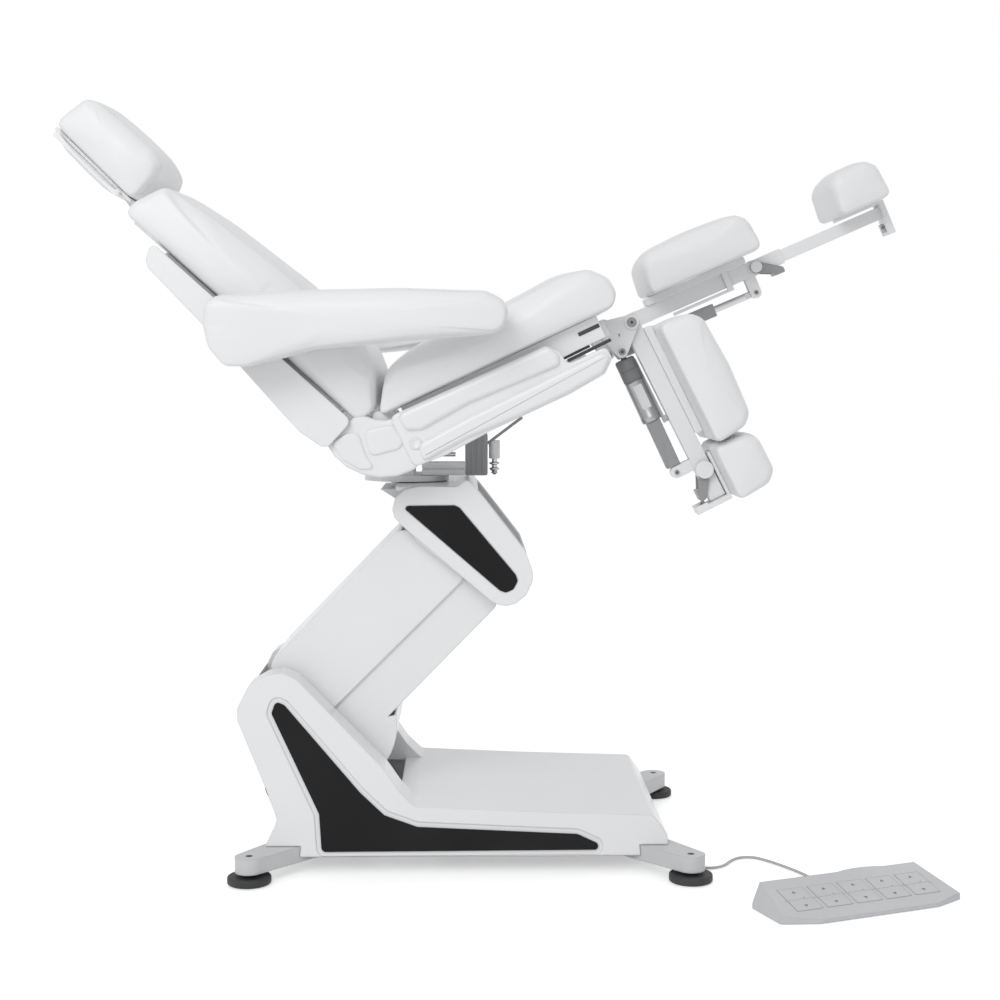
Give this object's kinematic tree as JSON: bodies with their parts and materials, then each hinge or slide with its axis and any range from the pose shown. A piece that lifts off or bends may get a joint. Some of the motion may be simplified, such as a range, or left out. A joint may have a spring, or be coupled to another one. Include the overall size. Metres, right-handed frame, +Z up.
{
  "type": "podiatry chair",
  "caption": "White upholstered treatment chair on a lifting base, with a reclining back, headrest, swing-up armrests, separately moving legs with sliding foot rests, and a foot control.",
  "frame": {"origin": "on the floor, under the middle of the chair with its foot control", "axes": "+X towards the sitter's feet, +Y to the sitter's left, +Z up"},
  "size_m": [1.5826, 0.9353, 1.3871],
  "materials": {
    "white_moulding": "gloss white moulded cover",
    "black_panel": "matt black inlay",
    "upholstery": "white leatherette",
    "white_steel": "satin white powder coat",
    "pale_lug": "satin pale grey paint",
    "foot_rubber": "black levelling foot",
    "actuator_metal": "satin anodised",
    "bright_rod": "ground steel",
    "grey_plastic": "satin mid grey plastic",
    "pale_grey_plastic": "satin pale grey plastic",
    "dark_plastic": "satin dark plastic",
    "cable_jacket": "soft pale grey cable jacket"
  },
  "bodies": {
    "base": {"base_cover": "white_moulding", "base_side_panels": "black_panel", "base_frame": "white_steel", "outrigger_lugs": "pale_lug", "levelling_feet": "foot_rubber", "control_box": "dark_plastic", "cable_entries": "dark_plastic", "foot_control_housing": "pale_grey_plastic", "foot_control_cable": "cable_jacket"},
    "main_arm": {"main_arm": "white_steel", "main_arm_cover": "white_moulding"},
    "front_arm": {"front_arm": "white_steel", "front_arm_cover": "white_moulding"},
    "lift_actuator": {"lift_actuator_body": "actuator_metal"},
    "lift_rod": {"lift_actuator_rod": "bright_rod"},
    "head": {"head_frame": "white_steel", "head_cover": "white_moulding", "head_side_panels": "black_panel"},
    "platform": {"swivel_platform": "white_steel", "tilt_actuator": "actuator_metal"},
    "crosshead": {"tilt_crosshead": "bright_rod"},
    "seat": {"seat_frame": "white_steel", "seat_cushion": "upholstery", "seat_side_covers": "white_moulding"},
    "recline_actuator": {"recline_actuator_body": "actuator_metal"},
    "recline_rod": {"recline_actuator_rod": "bright_rod"},
    "back": {"back_frame": "white_steel", "back_shell": "white_moulding", "back_cushion": "upholstery"},
    "back_lever": {"back_lever": "grey_plastic"},
    "headrest_post": {"headrest_post": "white_steel"},
    "headrest": {"headrest_board": "white_steel", "headrest_cushion": "upholstery"},
    "armrest_right": {"armrest_bracket_right": "white_steel", "armrest_pad_right": "upholstery"},
    "armrest_left": {"armrest_bracket_left": "white_steel", "armrest_pad_left": "upholstery"},
    "leg_right": {"leg_tube_right": "white_steel"},
    "calf_right": {"calf_board_right": "white_steel", "calf_cushion_right": "upholstery"},
    "foot_right": {"foot_slide_right": "white_steel", "foot_cushion_right": "upholstery"},
    "trigger_right": {"foot_trigger_right": "dark_plastic"},
    "release_right": {"release_lever_right": "grey_plastic"},
    "leg_actuator_right": {"leg_actuator_body_right": "actuator_metal"},
    "leg_rod_right": {"leg_actuator_rod_right": "bright_rod"},
    "leg_left": {"leg_tube_left": "white_steel"},
    "calf_left": {"calf_board_left": "white_steel", "calf_cushion_left": "upholstery"},
    "foot_left": {"foot_slide_left": "white_steel", "foot_cushion_left": "upholstery"},
    "trigger_left": {"foot_trigger_left": "dark_plastic"},
    "release_left": {"release_lever_left": "grey_plastic"},
    "leg_actuator_left": {"leg_actuator_body_left": "actuator_metal"},
    "leg_rod_left": {"leg_actuator_rod_left": "bright_rod"},
    "foot_key_1": {"foot_key_1": "pale_grey_plastic"},
    "foot_key_2": {"foot_key_2": "pale_grey_plastic"},
    "foot_key_3": {"foot_key_3": "pale_grey_plastic"},
    "foot_key_4": {"foot_key_4": "pale_grey_plastic"},
    "foot_key_5": {"foot_key_5": "pale_grey_plastic"}
  },
  "joints": [
    {"name": "lift", "type": "hinge", "parent": "base", "child": "main_arm", "pos_m": [-0.401, 0.0763, 0.3193], "axis": [0, -1, 0], "range_deg": [-37, 15]},
    {"name": "front_arm_turn", "type": "hinge", "parent": "base", "child": "front_arm", "pos_m": [-0.3009, 0.0763, 0.2409], "axis": [0, -1, 0], "range_deg": [-37.2, 15.2]},
    {"name": "head_level", "type": "hinge", "parent": "main_arm", "child": "head", "pos_m": [-0.12463, 0.0763, 0.60152], "axis": [0, -1, 0], "range_deg": [-15.2, 37.2]},
    {"name": "lift_actuator_turn", "type": "hinge", "parent": "base", "child": "lift_actuator", "pos_m": [-0.3009, 0.0763, 0.2409], "axis": [0, -1, 0], "range_deg": [-37.2, 15.2]},
    {"name": "lift_rod_slide", "type": "slide", "parent": "lift_actuator", "child": "lift_rod", "axis": [0.4391, 0, 0.8984], "range_m": [-0.081, 0.034]},
    {"name": "swivel", "type": "hinge", "parent": "head", "child": "platform", "pos_m": [-0.1676, 0.0763, 0.7], "axis": [0, 0, 1], "range_deg": [-90, 90]},
    {"name": "seat_tilt", "type": "hinge", "parent": "platform", "child": "seat", "pos_m": [-0.1726, 0.0763, 0.778], "axis": [0, -1, 0], "range_deg": [-20, 2]},
    {"name": "crosshead_slide", "type": "slide", "parent": "platform", "child": "crosshead", "axis": [1, 0, 0], "range_m": [-0.015, 0.003]},
    {"name": "recline", "type": "hinge", "parent": "seat", "child": "back", "pos_m": [-0.2063, 0.0763, 0.8123], "axis": [0, -1, 0], "range_deg": [0, 40]},
    {"name": "recline_actuator_turn", "type": "hinge", "parent": "seat", "child": "recline_actuator", "pos_m": [0.09771, 0.2263, 0.87021], "axis": [0, -1, 0], "range_deg": [-0.2, 3.68]},
    {"name": "recline_rod_slide", "type": "slide", "parent": "recline_actuator", "child": "recline_rod", "axis": [-0.9318, 0, -0.3629], "range_m": [-0.0482, 0.001]},
    {"name": "headrest_height", "type": "slide", "parent": "back", "child": "headrest_post", "axis": [-0.7431, 0, 0.6691], "range_m": [0, 0.09]},
    {"name": "headrest_tilt", "type": "hinge", "parent": "headrest_post", "child": "headrest", "pos_m": [-0.66691, 0.0763, 1.19743], "axis": [0, -1, 0], "range_deg": [0, 40]},
    {"name": "back_lever_press", "type": "hinge", "parent": "back", "child": "back_lever", "pos_m": [-0.55577, 0.0763, 1.0208], "axis": [0, -1, 0], "range_deg": [0, 15], "stiffness_Nm_per_rad": 1.5, "springref_deg": -2.86},
    {"name": "armrest_right", "type": "hinge", "parent": "back", "child": "armrest_right", "pos_m": [-0.44011, -0.2437, 0.93671], "axis": [0, -1, 0], "range_deg": [-30, 95]},
    {"name": "armrest_left", "type": "hinge", "parent": "back", "child": "armrest_left", "pos_m": [-0.44011, 0.3963, 0.93671], "axis": [0, -1, 0], "range_deg": [-30, 95]},
    {"name": "leg_right", "type": "hinge", "parent": "seat", "child": "leg_right", "pos_m": [0.2424, -0.0637, 0.981], "axis": [0, -1, 0], "range_deg": [0, 86.6]},
    {"name": "calf_shift_right", "type": "slide", "parent": "leg_right", "child": "calf_right", "axis": [0.4524, 0, -0.8918], "range_m": [0, 0.051]},
    {"name": "foot_extension_right", "type": "slide", "parent": "calf_right", "child": "foot_right", "axis": [0.4524, 0, -0.8918], "range_m": [0, 0.16]},
    {"name": "trigger_press_right", "type": "slide", "parent": "foot_right", "child": "trigger_right", "axis": [-0.8918, 0, -0.4524], "range_m": [0, 0.006], "stiffness_N_per_m": 300, "springref_m": -0.002},
    {"name": "release_press_right", "type": "hinge", "parent": "leg_right", "child": "release_right", "pos_m": [0.37677, -0.0637, 0.71614], "axis": [0, -1, 0], "range_deg": [-20, 0], "stiffness_Nm_per_rad": 1.5, "springref_deg": 4.58},
    {"name": "leg_actuator_turn_right", "type": "hinge", "parent": "seat", "child": "leg_actuator_right", "pos_m": [0.22559, -0.0637, 0.92818], "axis": [0, -1, 0], "range_deg": [-0.2, 87.72]},
    {"name": "leg_rod_slide_right", "type": "slide", "parent": "leg_actuator_right", "child": "leg_rod_right", "axis": [0.4259, 0, -0.9048], "range_m": [-0.001, 0.0769]},
    {"name": "leg_left", "type": "hinge", "parent": "seat", "child": "leg_left", "pos_m": [0.2424, 0.2163, 0.981], "axis": [0, -1, 0], "range_deg": [-86.6, 0]},
    {"name": "calf_shift_left", "type": "slide", "parent": "leg_left", "child": "calf_left", "axis": [0.9171, 0, 0.3987], "range_m": [-0.051, 0]},
    {"name": "foot_extension_left", "type": "slide", "parent": "calf_left", "child": "foot_left", "axis": [0.9171, 0, 0.3987], "range_m": [-0.16, 0]},
    {"name": "trigger_press_left", "type": "slide", "parent": "foot_left", "child": "trigger_left", "axis": [0.3987, 0, -0.9171], "range_m": [0, 0.006], "stiffness_N_per_m": 300, "springref_m": -0.002},
    {"name": "release_press_left", "type": "hinge", "parent": "leg_left", "child": "release_left", "pos_m": [0.51477, 0.2163, 1.09943], "axis": [0, -1, 0], "range_deg": [-20, 0], "stiffness_Nm_per_rad": 1.5, "springref_deg": 4.58},
    {"name": "leg_actuator_turn_left", "type": "hinge", "parent": "seat", "child": "leg_actuator_left", "pos_m": [0.22559, 0.2163, 0.92818], "axis": [0, -1, 0], "range_deg": [-87.72, 0.2]},
    {"name": "leg_rod_slide_left", "type": "slide", "parent": "leg_actuator_left", "child": "leg_rod_left", "axis": [0.9224, 0, 0.3864], "range_m": [-0.0769, 0.001]},
    {"name": "key_1_rock", "type": "hinge", "parent": "base", "child": "foot_key_1", "pos_m": [0.4961, -0.40127, 0.0225], "axis": [0.9336, 0.3584, 0], "range_deg": [-1.2, 1.2], "stiffness_Nm_per_rad": 2},
    {"name": "key_2_rock", "type": "hinge", "parent": "base", "child": "foot_key_2", "pos_m": [0.55025, -0.38049, 0.0225], "axis": [0.9336, 0.3584, 0], "range_deg": [-1.2, 1.2], "stiffness_Nm_per_rad": 2},
    {"name": "key_3_rock", "type": "hinge", "parent": "base", "child": "foot_key_3", "pos_m": [0.6044, -0.3597, 0.0225], "axis": [0.9336, 0.3584, 0], "range_deg": [-1.2, 1.2], "stiffness_Nm_per_rad": 2},
    {"name": "key_4_rock", "type": "hinge", "parent": "base", "child": "foot_key_4", "pos_m": [0.65855, -0.33891, 0.0225], "axis": [0.9336, 0.3584, 0], "range_deg": [-1.2, 1.2], "stiffness_Nm_per_rad": 2},
    {"name": "key_5_rock", "type": "hinge", "parent": "base", "child": "foot_key_5", "pos_m": [0.7127, -0.31813, 0.0225], "axis": [0.9336, 0.3584, 0], "range_deg": [-1.2, 1.2], "stiffness_Nm_per_rad": 2}
  ],
  "couplings": [
    {"joint": "front_arm_turn", "follows": "lift", "ratio": 1},
    {"joint": "head_level", "follows": "lift", "ratio": -1},
    {"joint": "lift_actuator_turn", "follows": "lift", "ratio": 1},
    {"joint": "lift_rod_slide", "follows": "lift", "m_per_rad": 0.122},
    {"joint": "crosshead_slide", "follows": "seat_tilt", "m_per_rad": 0.039},
    {"joint": "recline_actuator_turn", "follows": "recline", "ratio": 0.087049},
    {"joint": "recline_rod_slide", "follows": "recline", "m_per_rad": -0.067666},
    {"joint": "calf_shift_right", "follows": "leg_right", "m_per_rad": 0.033081},
    {"joint": "leg_actuator_turn_right", "follows": "leg_right", "ratio": 1.0106},
    {"joint": "leg_rod_slide_right", "follows": "leg_right", "m_per_rad": 0.050215},
    {"joint": "calf_shift_left", "follows": "leg_left", "m_per_rad": 0.033081},
    {"joint": "leg_actuator_turn_left", "follows": "leg_left", "ratio": 1.0106},
    {"joint": "leg_rod_slide_left", "follows": "leg_left", "m_per_rad": 0.050215}
  ]
}
